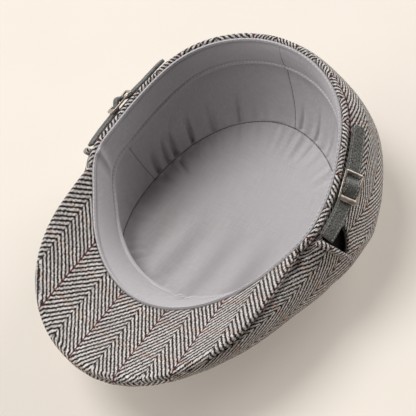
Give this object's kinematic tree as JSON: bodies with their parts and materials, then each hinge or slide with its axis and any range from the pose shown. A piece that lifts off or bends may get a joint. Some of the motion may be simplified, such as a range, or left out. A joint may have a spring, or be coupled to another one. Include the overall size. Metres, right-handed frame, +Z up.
{
  "type": "flat cap",
  "caption": "Tweed flat cap lying upside down: curved stiff peak, full soft crown, rolled hem, lined hollow with a sweatband, and side straps with slides beside bound vents.",
  "frame": {"origin": "on the surface that it lies on, straight below the middle of the mouth, on the flattened top of the crown", "axes": "+Z up, out of the upturned mouth; -Y towards the front of the peak; +X towards the wearer's right-hand strap"},
  "size_m": [0.2112, 0.2759, 0.1026],
  "materials": {
    "tweed": "woven wool herringbone tweed with a fine overcheck",
    "lining": "soft plain-woven cotton",
    "sweatband": "plain-woven cotton, hemmed and stitched",
    "strap_felt": "pressed wool felt, edge stitched",
    "buckle_metal": "brushed, warm silver",
    "vent_cloth": "dark satin bias tape and plain dark cloth"
  },
  "bodies": {
    "root": {"crown": "tweed", "peak": "tweed", "hem": "tweed", "sweatband": "sweatband", "lining_side": "lining", "lining_top": "lining", "strap_right": "strap_felt", "buckle_right": "buckle_metal", "vent_roll_right": "tweed", "vent_binding_right": "vent_cloth", "vent_gusset_right": "vent_cloth", "strap_left": "strap_felt", "buckle_left": "buckle_metal", "vent_roll_left": "tweed", "vent_binding_left": "vent_cloth", "vent_gusset_left": "vent_cloth"}
  },
  "joints": []
}
